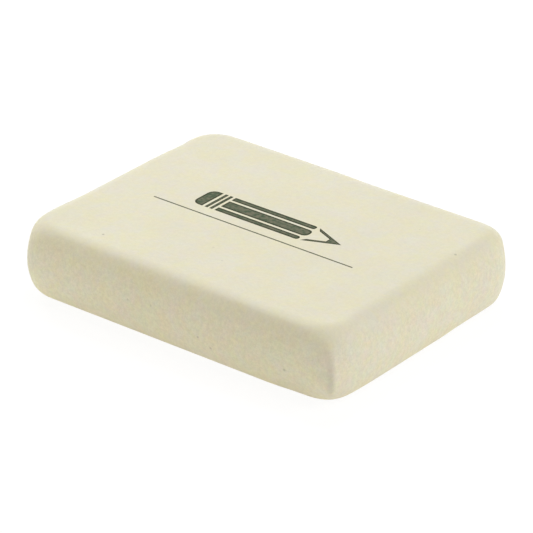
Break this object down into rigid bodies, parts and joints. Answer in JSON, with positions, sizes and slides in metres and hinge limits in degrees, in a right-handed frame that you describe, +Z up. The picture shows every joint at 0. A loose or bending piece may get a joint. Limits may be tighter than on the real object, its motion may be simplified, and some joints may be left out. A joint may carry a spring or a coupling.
{
  "type": "rubber eraser",
  "caption": "Flat rectangular block of soft cream rubber with rounded corners and edges and gently swollen sides, for rubbing out pencil.",
  "frame": {"origin": "middle of the flat underside, which is also the middle of the bounding box's base", "axes": "+X along the length, +Y across the width, +Z up out of the top face"},
  "size_m": [0.057, 0.0436, 0.0112],
  "materials": {
    "rubber": "matte cream"
  },
  "bodies": {
    "root": {"eraser": "rubber"}
  },
  "joints": []
}
